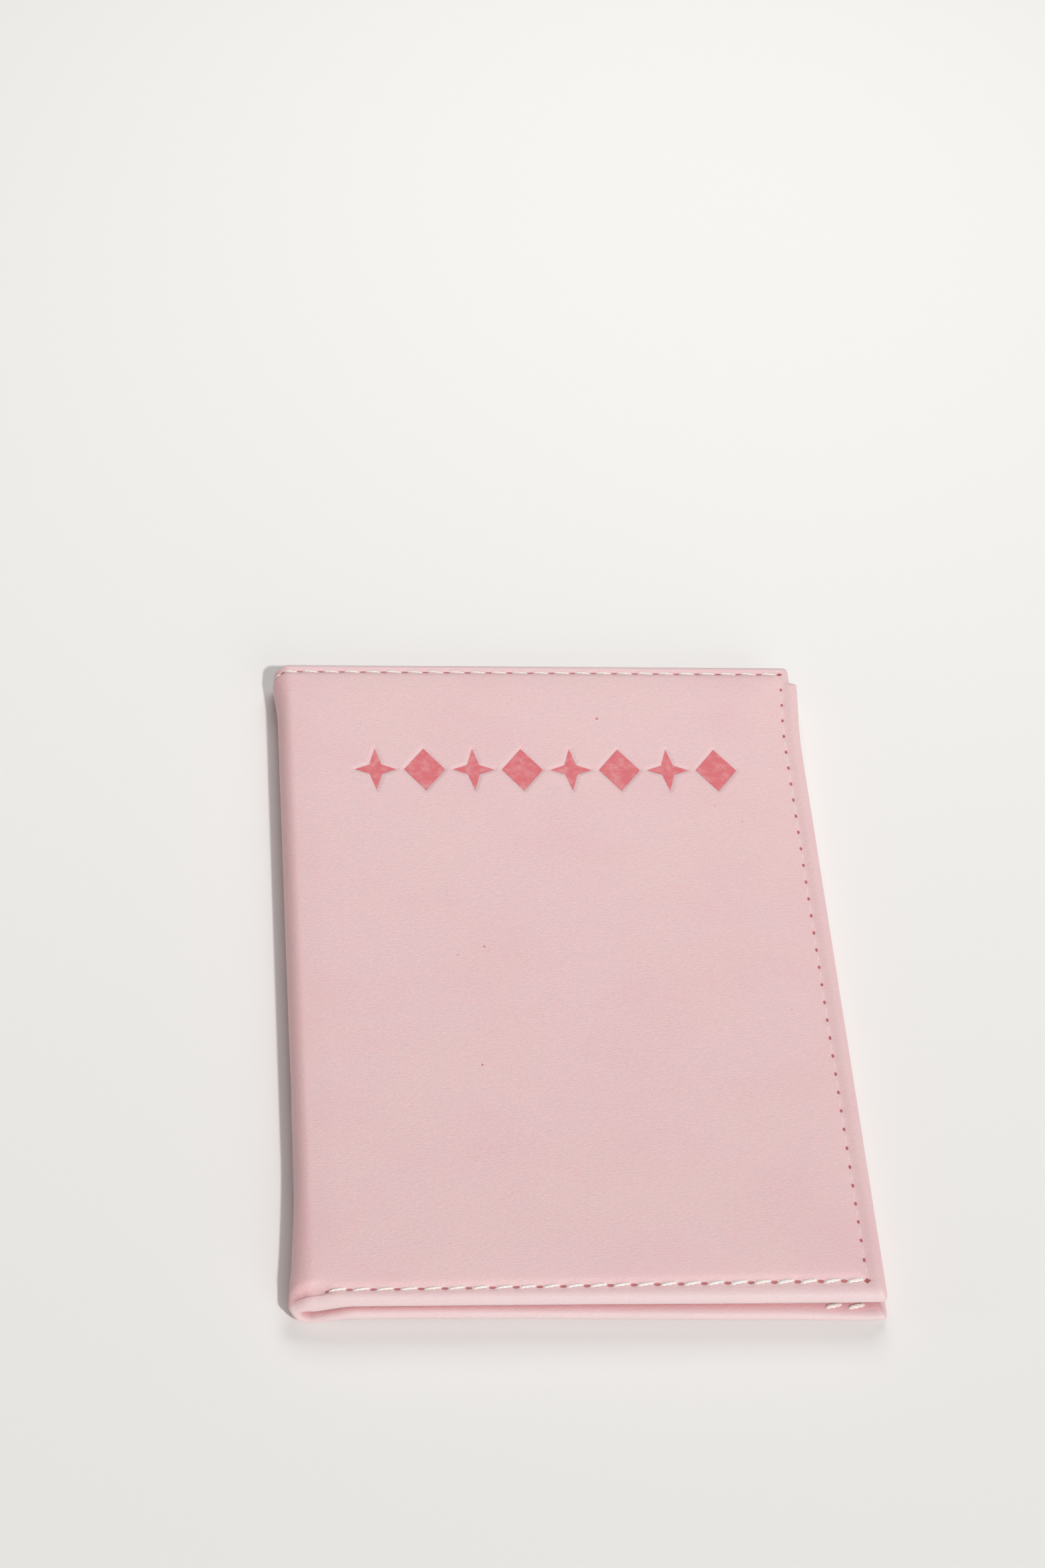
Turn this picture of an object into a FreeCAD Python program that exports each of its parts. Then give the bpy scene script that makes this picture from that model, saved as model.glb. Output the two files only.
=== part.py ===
"""Passport holder: a padded leatherette cover that folds round a passport booklet.

Millimetres, +Z up.  The closed holder lies on its back cover.  The origin is the
middle of the resting face, +Y runs along the spine and +X points to the opening edge.
Both covers are drawn in one cover frame, outer face down on z = 0, and the front
cover is that frame turned over about X and lifted to the top of the closed holder.
"""
import FreeCAD, Part
import math
import os
import Sketcher
from FreeCAD import Placement, Rotation, Vector

DRIVING = {
    # closed holder
    "length": 140.0,
    "width": 98.0,
    "thickness": 7.5,
    "cover_thick": 3.0,
    "fold_gap": 0.3,
    # layers of one cover, from the outside in
    "leather_thick": 0.7,
    "board_thick": 0.5,
    "lining_thick": 0.2,
    "sleeve_thick": 0.3,
    "pocket_thick": 0.3,
    # edges
    "hem_width": 7.0,
    "edge_round": 1.2,
    "corner_round": 1.5,
    # seam that runs right round the open cover
    "seam_inset_end": 2.2,
    "seam_inset_side": 3.2,
    "stitch_pitch": 3.87,
    "stitch_length": 2.7,
    "thread_width": 0.5,
    "thread_depth": 0.35,
    # stiffener, sleeves and card pockets
    "board_inset": 6.0,
    "front_sleeve_setback": 14.0,
    "front_sleeve_width": "=width - front_sleeve_setback",
    "back_sleeve_width": 60.0,
    "pocket_height": 92.0,
    "deep_pocket_width": 50.0,
    "shallow_pocket_width": 38.0,
    "pocket_clearance": 0.2,
    "pocket_seam_inset": 2.0,
    # stamped ornament: four pairs of a star and a lozenge
    "ornament_length": 70.0,
    "ornament_height": 10.0,
    "ornament_drop": 26.8,
    "ornament_shift": 0.8,
    "motif_gap": 1.4,
    "star_waist": 1.1,
    "deboss_depth": 0.25,
    "foil_thick": 0.1,
}
MOTIF_PAIRS = 4

# Lengths that follow from the driving dimensions, in the cover frame.
SPINE_RADIUS = "(Sizes.thickness / 2)"
EDGE_X = "(Sizes.width / 2)"
EDGE_Y = "(Sizes.length / 2)"
SPINE_X = f"({SPINE_RADIUS} - {EDGE_X})"
FOLD_X = f"({SPINE_X} + Sizes.fold_gap)"
WRAP_X = f"({EDGE_X} - Sizes.leather_thick)"
WRAP_Y = f"({EDGE_Y} - Sizes.leather_thick)"
HEM_X = f"({EDGE_X} - Sizes.hem_width)"
HEM_Y = f"({EDGE_Y} - Sizes.hem_width)"
SEAM_X = f"({EDGE_X} - Sizes.seam_inset_side)"
SEAM_Y = f"({EDGE_Y} - Sizes.seam_inset_end)"
HALF_THREAD = "(Sizes.thread_width / 2)"
HEM_Z = "(Sizes.cover_thick - Sizes.leather_thick)"
SLEEVE_Z = f"({HEM_Z} - Sizes.sleeve_thick)"
LINING_Z = f"({SLEEVE_Z} - Sizes.lining_thick)"
BOARD_Z = f"({LINING_Z} - Sizes.board_thick)"
LINING_RADIUS = f"({SPINE_RADIUS} - Sizes.leather_thick)"
HEM_RADIUS = f"({LINING_RADIUS} - Sizes.lining_thick)"
INNER_RADIUS = f"({HEM_RADIUS} - Sizes.leather_thick)"
POCKET_X = f"({HEM_X} - Sizes.pocket_clearance)"
POCKET_Y = f"({HEM_Y} - Sizes.pocket_clearance)"
MOTIF_PITCH = f"((Sizes.ornament_length + Sizes.motif_gap) / {2 * MOTIF_PAIRS})"
MOTIF_HALF = f"(({MOTIF_PITCH} - Sizes.motif_gap) / 2)"
ORNAMENT_HALF = "(Sizes.ornament_height / 2)"
ORNAMENT_Y = f"(Sizes.ornament_drop - {EDGE_Y})"
STAR_X = f"(Sizes.ornament_shift - Sizes.ornament_length / 2 + {MOTIF_HALF})"
LOZENGE_X = f"({STAR_X} + {MOTIF_PITCH})"

doc = FreeCAD.newDocument("PassportHolder")


def make_sheet():
    """Spreadsheet of the driving dimensions, one alias to a row."""
    sheet = doc.addObject("Spreadsheet::Sheet", "Sizes")
    for row, (alias, size) in enumerate(DRIVING.items(), start=1):
        sheet.set(f"A{row}", alias)
        sheet.set(f"B{row}", str(size))
        sheet.setAlias(f"B{row}", alias)
    doc.recompute()
    return sheet


sizes = make_sheet()


def value(expression):
    """Number that an expression on the sheet gives."""
    return float(sizes.evalExpression(str(expression)))


# ---------------------------------------------------------------- building blocks

def make_body(label):
    """Empty body; its Label names the sub-part."""
    body = doc.addObject("PartDesign::Body", label)
    body.Label = label
    return body


def origin_part(body, role):
    """Origin plane or axis of a body, found by its role."""
    return next(item for item in body.Origin.OriginFeatures if item.Role == role)


def polygon_sketch(body, name, outlines, level="0"):
    """Sketch of closed outlines on the body's XY plane, lifted to a level.

    Every corner is held by its own X and Y dimension, bound to the sheet.
    """
    sketch = body.newObject("Sketcher::SketchObject", name)
    sketch.AttachmentSupport = [(origin_part(body, "XY_Plane"), "")]
    sketch.MapMode = "FlatFace"
    sketch.setExpression("AttachmentOffset.Base.z", level)
    for outline in outlines:
        first = sketch.GeometryCount
        corners = [Vector(value(x), value(y), 0) for x, y in outline]
        count = len(corners)
        for index, start in enumerate(corners):
            sketch.addGeometry(Part.LineSegment(start, corners[(index + 1) % count]))
        for index, (x, y) in enumerate(outline):
            line = first + index
            following = first + (index + 1) % count
            sketch.addConstraint(Sketcher.Constraint("Coincident", line, 2, following, 1))
            for kind, size in (("DistanceX", x), ("DistanceY", y)):
                held = Sketcher.Constraint(kind, -1, 1, line, 1, value(size))
                number = sketch.addConstraint(held)
                sketch.setExpression(f"Constraints[{number}]", size)
    return sketch


def rectangle(x_low, x_high, y_low, y_high):
    """Corners of a rectangle, anticlockwise."""
    return [(x_low, y_low), (x_high, y_low), (x_high, y_high), (x_low, y_high)]


def pad(body, name, sketch, depth):
    """Pad upwards from the sketch."""
    feature = body.newObject("PartDesign::Pad", name)
    feature.Profile = sketch
    feature.setExpression("Length", depth)
    doc.recompute()
    return feature


def pocket(body, name, sketch, depth, upwards):
    """Pocket from the sketch; it has to take material away."""
    before = body.Shape.Volume
    feature = body.newObject("PartDesign::Pocket", name)
    feature.Profile = sketch
    feature.Reversed = upwards
    feature.setExpression("Length", depth)
    doc.recompute()
    if not body.Shape.Volume < before:
        raise RuntimeError(f"{body.Label}: {name} cuts nothing")
    return feature


def round_edges(body, name, radius, wanted):
    """Fillet on the edges of the body's tip that the test picks."""
    base = body.Tip
    names = [f"Edge{index}" for index, edge in enumerate(base.Shape.Edges, start=1) if wanted(edge)]
    feature = body.newObject("PartDesign::Fillet", name)
    feature.Base = (base, names)
    feature.setExpression("Radius", radius)
    doc.recompute()
    return feature


def slab(label, outline, level, depth):
    """Flat sheet of one outline."""
    body = make_body(label)
    sketch = polygon_sketch(body, f"{label}_outline", [outline], level)
    pad(body, f"{label}_pad", sketch, depth)
    return body


def turn_over(piece):
    """Place a piece that was drawn in the cover frame in the front cover."""
    piece.Placement = Placement(Vector(), Rotation(Vector(1, 0, 0), 180))
    piece.setExpression("Placement.Base.z", "Sizes.thickness")


# ---------------------------------------------------------------- leather and spine

def seam_track(x_start):
    """Outline of the thread's channel along the three sewn edges of a cover."""
    outer_x = f"({SEAM_X} + {HALF_THREAD})"
    inner_x = f"({SEAM_X} - {HALF_THREAD})"
    outer_y = f"({SEAM_Y} + {HALF_THREAD})"
    inner_y = f"({SEAM_Y} - {HALF_THREAD})"
    return [
        (x_start, f"-{outer_y}"), (outer_x, f"-{outer_y}"),
        (outer_x, outer_y), (x_start, outer_y),
        (x_start, inner_y), (inner_x, inner_y),
        (inner_x, f"-{inner_y}"), (x_start, f"-{inner_y}"),
    ]


def cover_leather(label):
    """Leather of one cover: outer panel with its three edges turned in as hems."""
    body = make_body(label)
    beyond = f"({FOLD_X} - Sizes.fold_gap)"
    panel = polygon_sketch(body, f"{label}_panel", [rectangle(FOLD_X, EDGE_X, f"-{EDGE_Y}", EDGE_Y)])
    pad(body, f"{label}_pad", panel, "Sizes.cover_thick")
    edge_x = value(EDGE_X)
    fold_x = value(FOLD_X)

    def is_corner(edge):
        box = edge.BoundBox
        return box.ZLength > 0.5 and box.XMin > edge_x - 0.01

    def is_outer(edge):
        box = edge.BoundBox
        return box.ZLength < 0.01 and box.XMax > fold_x + 0.01

    round_edges(body, f"{label}_corners", "Sizes.corner_round", is_corner)
    round_edges(body, f"{label}_edges", "Sizes.edge_round", is_outer)
    inside = rectangle(beyond, WRAP_X, f"-{WRAP_Y}", WRAP_Y)
    cavity = polygon_sketch(body, f"{label}_inside", [inside], "Sizes.leather_thick")
    pocket(body, f"{label}_cavity", cavity, f"{HEM_Z} - Sizes.leather_thick", True)
    opening = rectangle(beyond, HEM_X, f"-{HEM_Y}", HEM_Y)
    window = polygon_sketch(body, f"{label}_window", [opening], "Sizes.cover_thick")
    pocket(body, f"{label}_hem", window, "Sizes.leather_thick", False)
    needle = polygon_sketch(body, f"{label}_needle_track", [seam_track(beyond)])
    pocket(body, f"{label}_needle_channel", needle, "Sizes.thread_depth", True)
    bobbin = polygon_sketch(body, f"{label}_bobbin_track", [seam_track(beyond)], "Sizes.cover_thick")
    pocket(body, f"{label}_bobbin_channel", bobbin, "Sizes.thread_depth", False)
    return body


def half_round(label, outline):
    """Wall of the rolled spine: a profile of radius against Y, turned half round."""
    body = make_body(label)
    sketch = polygon_sketch(body, f"{label}_profile", [outline])
    feature = body.newObject("PartDesign::Revolution", f"{label}_roll")
    feature.Profile = sketch
    feature.ReferenceAxis = (origin_part(body, "Y_Axis"), [""])
    feature.Angle = 180
    feature.Midplane = True
    doc.recompute()
    body.setExpression("Placement.Base.x", SPINE_X)
    body.setExpression("Placement.Base.z", SPINE_RADIUS)
    return body


def mirrored_profile(upper):
    """Closed profile from its upper half: the same corners again at -Y, in reverse."""
    return upper + [(x, f"-{y}") for x, y in reversed(upper)]


def spine_leather():
    """Leather of the spine, hems at both ends and thread channels in both faces."""
    seam_out = f"({SEAM_Y} + {HALF_THREAD})"
    seam_in = f"({SEAM_Y} - {HALF_THREAD})"
    needle = f"-({SPINE_RADIUS} - Sizes.thread_depth)"
    bobbin = f"-({INNER_RADIUS} + Sizes.thread_depth)"
    upper = [
        (f"-{SPINE_RADIUS}", seam_in), (needle, seam_in), (needle, seam_out),
        (f"-{SPINE_RADIUS}", seam_out), (f"-{SPINE_RADIUS}", EDGE_Y), (f"-{INNER_RADIUS}", EDGE_Y),
        (f"-{INNER_RADIUS}", seam_out), (bobbin, seam_out), (bobbin, seam_in),
        (f"-{INNER_RADIUS}", seam_in), (f"-{INNER_RADIUS}", HEM_Y), (f"-{HEM_RADIUS}", HEM_Y),
        (f"-{HEM_RADIUS}", WRAP_Y), (f"-{LINING_RADIUS}", WRAP_Y),
    ]
    return half_round("spine_leather", mirrored_profile(upper))


def spine_lining():
    """Lining sheet inside the rolled spine, tucked under the hems."""
    upper = [(f"-{LINING_RADIUS}", WRAP_Y), (f"-{HEM_RADIUS}", WRAP_Y)]
    return half_round("spine_lining", mirrored_profile(upper))


# ---------------------------------------------------------------- layers of a cover

def cover_foam(label):
    """Foam pad, thinner where the stiff board presses into it."""
    body = slab(label, rectangle(FOLD_X, WRAP_X, f"-{WRAP_Y}", WRAP_Y),
                "Sizes.leather_thick", f"{LINING_Z} - Sizes.leather_thick")
    bed = polygon_sketch(body, f"{label}_bed", [board_outline()], LINING_Z)
    pocket(body, f"{label}_recess", bed, "Sizes.board_thick", False)
    return body


def board_outline():
    """Outline of the stiff board, clear of the seam on every side."""
    return rectangle(f"({FOLD_X} + Sizes.board_inset)", f"({EDGE_X} - Sizes.board_inset)",
                     f"-({EDGE_Y} - Sizes.board_inset)", f"({EDGE_Y} - Sizes.board_inset)")


def cover_layers(side):
    """Board, lining and booklet sleeve of one cover."""
    board = slab(f"{side}_board", board_outline(), BOARD_Z, "Sizes.board_thick")
    lining = slab(f"{side}_lining", rectangle(FOLD_X, WRAP_X, f"-{WRAP_Y}", WRAP_Y),
                  LINING_Z, "Sizes.lining_thick")
    sleeve_x = f"({WRAP_X} - Sizes.{side}_sleeve_width)"
    sleeve = slab(f"{side}_sleeve", rectangle(sleeve_x, WRAP_X, f"-{WRAP_Y}", WRAP_Y),
                  SLEEVE_Z, "Sizes.sleeve_thick")
    return [board, lining, sleeve]


def card_pocket(label, pocket_width, level):
    """Card pocket on the front sleeve, its mouth towards the spine."""
    foot = f"({POCKET_Y} - Sizes.pocket_height)"
    outline = rectangle(f"({POCKET_X} - {pocket_width})", POCKET_X, foot, POCKET_Y)
    return slab(label, outline, level, "Sizes.pocket_thick")


# ---------------------------------------------------------------- threads and ornament

def part_feature(label, solids):
    """Sub-part of separate solids, with its sizes read from the sheet."""
    feature = doc.addObject("Part::Feature", label)
    feature.Label = label
    feature.Shape = Part.makeCompound(solids)
    return feature


def stitch_run(start, direction, run_length, level):
    """Straight line of stitches as equal bars, centred on the run."""
    pitch = value("Sizes.stitch_pitch")
    long_side = value("Sizes.stitch_length")
    half_width = value(HALF_THREAD)
    depth = value("Sizes.thread_depth")
    count = int(run_length // pitch)
    spare = (run_length - count * pitch + pitch - long_side) / 2
    across = Vector(-direction.y, direction.x, 0)
    bars = []
    for index in range(count):
        near = start + direction * (spare + index * pitch)
        far = near + direction * long_side
        corners = [near - across * half_width, far - across * half_width,
                   far + across * half_width, near + across * half_width]
        flat = [Vector(point.x, point.y, level) for point in corners]
        face = Part.Face(Part.makePolygon(flat + flat[:1]))
        bars.append(face.extrude(Vector(0, 0, depth)))
    return bars


def cover_thread(label, level):
    """Stitches of one face of a cover, along its two ends and its opening edge."""
    seam_x = value(SEAM_X)
    seam_y = value(SEAM_Y)
    fold_x = value(FOLD_X)
    along = seam_x - fold_x
    solids = []
    for end in (-1, 1):
        solids += stitch_run(Vector(fold_x, end * seam_y, 0), Vector(1, 0, 0), along, level)
    solids += stitch_run(Vector(seam_x, -seam_y, 0), Vector(0, 1, 0), 2 * seam_y, level)
    return part_feature(label, solids)


def spine_thread(label, inner_radius):
    """Stitches that follow the seam round the rolled spine, at both ends."""
    depth = value("Sizes.thread_depth")
    thread_width = value("Sizes.thread_width")
    seam_y = value(SEAM_Y)
    seam_radius = value(SPINE_RADIUS)
    pitch = value("Sizes.stitch_pitch")
    count = max(1, round(math.pi * seam_radius / pitch))
    pitch_angle = 180 / count
    stitch_angle = pitch_angle * value("Sizes.stitch_length") / pitch
    solids = []
    for end in (-1, 1):
        low_y = end * seam_y - thread_width / 2
        corners = [(-inner_radius, low_y), (-inner_radius - depth, low_y),
                   (-inner_radius - depth, low_y + thread_width), (-inner_radius, low_y + thread_width)]
        wire = Part.makePolygon([Vector(x, y, 0) for x, y in corners + corners[:1]])
        for index in range(count):
            face = Part.Face(wire)
            first = -90 + (index + 0.5) * pitch_angle - stitch_angle / 2
            face.rotate(Vector(), Vector(0, 1, 0), first)
            solids.append(face.revolve(Vector(), Vector(0, 1, 0), stitch_angle))
    feature = part_feature(label, solids)
    feature.setExpression("Placement.Base.x", SPINE_X)
    feature.setExpression("Placement.Base.z", SPINE_RADIUS)
    return feature


def pocket_thread():
    """Short rows that sew both card pockets down along their two ends."""
    level = value("Sizes.cover_thick - Sizes.leather_thick + 2 * Sizes.pocket_thick")
    depth = value("Sizes.thread_depth")
    inset = value("Sizes.pocket_seam_inset")
    start_x = value(f"{POCKET_X} - Sizes.shallow_pocket_width")
    run_length = value("Sizes.shallow_pocket_width")
    top_y = value(POCKET_Y) - inset
    foot_y = value(f"{POCKET_Y} - Sizes.pocket_height") + inset
    solids = []
    for row_y in (foot_y, top_y):
        solids += stitch_run(Vector(start_x, row_y, 0), Vector(1, 0, 0), run_length, level - depth)
    return part_feature("pocket_thread", solids)


def star_outline(centre_x):
    """Four-pointed star: long points and a narrow waist."""
    half = MOTIF_HALF
    tall = ORNAMENT_HALF
    waist = "Sizes.star_waist"
    offsets = [(half, "0"), (waist, waist), ("0", tall), (f"-{waist}", waist),
               (f"-{half}", "0"), (f"-{waist}", f"-{waist}"), ("0", f"-{tall}"), (waist, f"-{waist}")]
    return [(f"({centre_x} + {x})", f"({ORNAMENT_Y} + {y})") for x, y in offsets]


def lozenge_outline(centre_x):
    """Upright lozenge as wide and as tall as the star."""
    offsets = [(MOTIF_HALF, "0"), ("0", ORNAMENT_HALF), (f"-{MOTIF_HALF}", "0"), ("0", f"-{ORNAMENT_HALF}")]
    return [(f"({centre_x} + {x})", f"({ORNAMENT_Y} + {y})") for x, y in offsets]


def stamp_ornament(body):
    """Press the row of motifs into the outer face of the front leather."""
    outlines = [star_outline(STAR_X), lozenge_outline(LOZENGE_X)]
    sketch = polygon_sketch(body, "ornament_motifs", outlines)
    stamped = pocket(body, "ornament_deboss", sketch, "Sizes.deboss_depth", True)
    row = body.newObject("PartDesign::LinearPattern", "ornament_row")
    row.Originals = [stamped]
    row.Direction = (origin_part(body, "X_Axis"), [""])
    row.setExpression("Length", f"{2 * (MOTIF_PAIRS - 1)} * {MOTIF_PITCH}")
    row.Occurrences = MOTIF_PAIRS
    body.Tip = row
    doc.recompute()


def ornament_foil():
    """Coloured foil at the bottom of each stamped motif."""
    bottom = value("Sizes.deboss_depth - Sizes.foil_thick")
    lift = Vector(0, 0, value("Sizes.foil_thick"))
    step = 2 * value(MOTIF_PITCH)
    solids = []
    for pair in range(MOTIF_PAIRS):
        for outline in (star_outline(STAR_X), lozenge_outline(LOZENGE_X)):
            points = [Vector(value(x) + pair * step, value(y), bottom) for x, y in outline]
            face = Part.Face(Part.makePolygon(points + points[:1]))
            solids.append(face.extrude(lift))
    return part_feature("ornament_foil", solids)


# ---------------------------------------------------------------- the whole holder

def build_back():
    """Back cover, drawn where it lies."""
    pieces = [cover_leather("back_leather"), cover_foam("back_foam")]
    pieces += cover_layers("back")
    pieces.append(cover_thread("back_needle_thread", 0))
    pieces.append(cover_thread("back_bobbin_thread", value("Sizes.cover_thick - Sizes.thread_depth")))
    return pieces


def build_spine():
    """Rolled spine between the two folds."""
    outer = value(f"{SPINE_RADIUS} - Sizes.thread_depth")
    return [spine_leather(), spine_lining(),
            spine_thread("spine_needle_thread", outer),
            spine_thread("spine_bobbin_thread", value(INNER_RADIUS))]


def build_front():
    """Front cover, drawn in the cover frame and turned over."""
    leather = cover_leather("front_leather")
    stamp_ornament(leather)
    pieces = [leather, cover_foam("front_foam")]
    pieces += cover_layers("front")
    pieces.append(card_pocket("card_pocket_deep", "Sizes.deep_pocket_width", HEM_Z))
    pieces.append(card_pocket("card_pocket_shallow", "Sizes.shallow_pocket_width",
                              f"({HEM_Z} + Sizes.pocket_thick)"))
    pieces.append(pocket_thread())
    pieces.append(cover_thread("front_needle_thread", 0))
    pieces.append(cover_thread("front_bobbin_thread", value("Sizes.cover_thick - Sizes.thread_depth")))
    pieces.append(ornament_foil())
    for piece in pieces:
        turn_over(piece)
    return pieces


def check(pieces):
    """Stop if any object failed or any sub-part has no valid solid."""
    for item in doc.Objects:
        if "Invalid" in item.State or "Error" in item.State:
            raise RuntimeError(f"{item.Label} failed: {item.State}")
    for piece in pieces:
        if piece.Shape.isNull() or not piece.Shape.isValid() or not piece.Shape.Solids:
            raise RuntimeError(f"{piece.Label} has no valid solid")


def export(pieces):
    """Write each sub-part to a file of its own."""
    os.makedirs("parts", exist_ok=True)
    for piece in pieces:
        piece.Shape.exportStep(f"parts/{piece.Label}.step")
        box = piece.Shape.BoundBox
        print(f"{piece.Label:22s} solids {len(piece.Shape.Solids):3d} volume {piece.Shape.Volume:9.1f}"
              f"  x {box.XMin:7.2f} {box.XMax:7.2f}  y {box.YMin:7.2f} {box.YMax:7.2f}"
              f"  z {box.ZMin:6.2f} {box.ZMax:6.2f}")


def main():
    """Build the holder, check it and write its sub-parts."""
    pieces = build_back() + build_spine() + build_front()
    doc.recompute()
    check(pieces)
    export(pieces)


main()
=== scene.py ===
import math

import bmesh
import bpy
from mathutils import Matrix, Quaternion, Vector, noise


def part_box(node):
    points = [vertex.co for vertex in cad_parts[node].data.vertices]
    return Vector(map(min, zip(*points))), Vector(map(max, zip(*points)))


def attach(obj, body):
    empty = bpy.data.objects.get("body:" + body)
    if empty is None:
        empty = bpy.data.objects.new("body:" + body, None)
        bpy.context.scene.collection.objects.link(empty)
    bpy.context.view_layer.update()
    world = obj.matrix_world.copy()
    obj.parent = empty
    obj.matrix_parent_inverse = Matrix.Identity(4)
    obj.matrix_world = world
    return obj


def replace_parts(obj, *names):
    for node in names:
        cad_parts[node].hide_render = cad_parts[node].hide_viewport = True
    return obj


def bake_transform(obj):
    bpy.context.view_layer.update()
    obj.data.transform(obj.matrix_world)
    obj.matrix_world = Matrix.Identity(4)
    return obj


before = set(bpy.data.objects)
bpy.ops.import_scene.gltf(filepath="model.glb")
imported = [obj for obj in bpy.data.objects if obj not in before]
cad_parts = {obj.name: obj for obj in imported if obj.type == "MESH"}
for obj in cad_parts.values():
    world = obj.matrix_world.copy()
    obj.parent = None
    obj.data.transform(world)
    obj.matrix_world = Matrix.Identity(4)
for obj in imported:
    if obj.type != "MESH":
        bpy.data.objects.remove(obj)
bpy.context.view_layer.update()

# Looks of a padded leatherette passport holder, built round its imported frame.
#
# Every soft skin is cut flat first.  A place on the cut is (across, along): across is
# 0 where the cover meets the spine, grows towards the opening edge and is negative round
# the spine; along runs up the spine.  Surface folds the cut into the closed holder.

bl_info = {
    "name": "Padded passport holder",
    "version": (1, 0, 0),
    "blender": (4, 5, 0),
    "location": "View3D > Sidebar > Passport holder",
    "description": "Builds the leather, thread, lining and sleeves of a passport holder",
    "category": "Object",
}

MM = 0.001

# ---------------------------------------------------------------- measures of the frame
PANEL_LOW, PANEL_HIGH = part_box("front_leather")
SPINE_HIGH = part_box("spine_leather")[1]
THREAD_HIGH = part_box("front_needle_thread")[1]
FOIL_LOW, FOIL_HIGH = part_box("ornament_foil")
LINING_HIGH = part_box("front_lining")[1]
SLEEVES = {side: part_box(f"{side}_sleeve") for side in ("front", "back")}
POCKETS = {name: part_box(f"card_pocket_{name}") for name in ("deep", "shallow")}

THICKNESS = SPINE_HIGH.z
SPINE_RADIUS = THICKNESS / 2
ROLL_X = SPINE_HIGH.x
COVER_THICK = PANEL_HIGH.z - PANEL_LOW.z
EDGE_ACROSS = PANEL_HIGH.x - ROLL_X
EDGE_ALONG = PANEL_HIGH.y
HALF_THREAD = 0.25 * MM
SEAM_ACROSS = THREAD_HIGH.x - HALF_THREAD - ROLL_X
SEAM_ALONG = THREAD_HIGH.y - HALF_THREAD
MID_SPINE = -math.pi * SPINE_RADIUS / 2
LINING_DEPTH = THICKNESS - LINING_HIGH.z
HEM_WIDTH = 7 * MM
HEM_EDGE = 0.25 * MM
SPINE_FLOOR = 0.9 * MM
SPINE_HEM = 2.3 * MM
MOTIFS = 8
HEM_RINGS = (0.3, 0.6, 0.85, 1.1, 1.4, 1.7, 1.95, 2.25, 2.8, 3.8)
LINING_CLEAR = 0.22 * MM
SLEEVE_CLEAR = 0.62 * MM
DEEP_POCKET_CLEAR = 1.05 * MM
POCKET_STEP = 0.32 * MM
POCKET_STITCH_LIFT = 0.14 * MM
TABLE_GAP = 0.02 * MM
RIM_DRIFT_BACK = 1.25 * MM
STITCH_SLANT = math.radians(7)
RIM_DRIFT_FRONT = 0.4 * MM
CREASE_DEPTH = 0.68 * MM
FRONT, BACK = 1, -1
SIDE_NAME = {FRONT: "front", BACK: "back"}

# ---------------------------------------------------------------- studio
# Each lamp: name, place and aim in metres, width of its square, power in watts.
LAMPS = (
    ("spine_fill", (-0.46, -0.05, 0.16), (-0.05, 0, 0), 0.25, 0.22),
    ("key", (1.10, -2.60, 2.98), (0, 0, 0), 0.20, 99),
    ("back_fill", (0.06, 0.28, 0.40), (0, 0.1, 0), 0.3, 0.95),
    ("front_fill", (0.45, -1.05, 0.42), (0, 0, 0), 0.8, 4.3),
)
ROOM_TINT = (1.0, 0.985, 0.965, 1)
ROOM_LIGHT = 0.165
CAMERA_EYE = Vector((-77.9, -396.8, 513.8)) * MM
CAMERA_AIM = Vector((-3.8, 40.2, 7.3)) * MM
CAMERA_ROLL = 7.458


# ---------------------------------------------------------------- settings

def length(name, description, millimetres):
    """Length property, given in millimetres and held in metres."""
    return bpy.props.FloatProperty(
        name=name, description=description, default=millimetres * MM, unit="LENGTH", precision=5)


def colour(name, description, red, green, blue):
    """Colour property in linear light."""
    return bpy.props.FloatVectorProperty(
        name=name, description=description, default=(red, green, blue), subtype="COLOR", min=0, max=1)


class HolderShape(bpy.types.PropertyGroup):
    """Sizes of the soft parts."""
    crown: length("Crown", "Height of the padding above the seam", 0.5)
    crown_reach: length("Crown reach", "Distance over which the padding rises", 3.2)
    edge_bulge: length("Edge bulge", "How far the turned edge rounds outwards", 1.35)
    corner: length("Corner", "Radius of a cover's corner", 0.45)
    seam_dip: length("Seam dip", "Depth of the valley that the seam pulls", 0.42)
    hole_dip: length("Hole dip", "Extra depth at each needle hole", 0.22)
    deboss: length("Deboss", "Depth of the stamped ornament", 0.24)
    shoulder: length("Shoulder", "Width of the stamp's soft edge", 0.52)
    motif_gap: length("Motif gap", "Gap between two stamped motifs", 1.4)
    star_waist: length("Star waist", "Half width of a star where its points meet", 1.1)
    stitch_pitch: length("Stitch pitch", "Distance from one needle hole to the next", 3.87)
    stitch_length: length("Stitch length", "Length of the thread between two holes", 2.85)
    thread_radius: length("Thread radius", "Half the thickness of the thread", 0.20)
    spine_draw: length("Spine draw", "How far the spine's leather is drawn in", 1.35)
    corner_flare: length("Corner flare", "How far the cover's top corner is pulled outwards", 0.95)
    seam_drift: length("Seam drift", "How far the lower seam wanders at its far end", 0.75)
    fold_sag: length("Fold sag", "How far the hollow of the spine sags at its lower end", 1.6)
    step_width: length("Corner step", "Width of the step in the hem at the top corner", 1.3)
    step_drop: length("Step drop", "Distance of that step from the top edge", 5.2)


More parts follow.
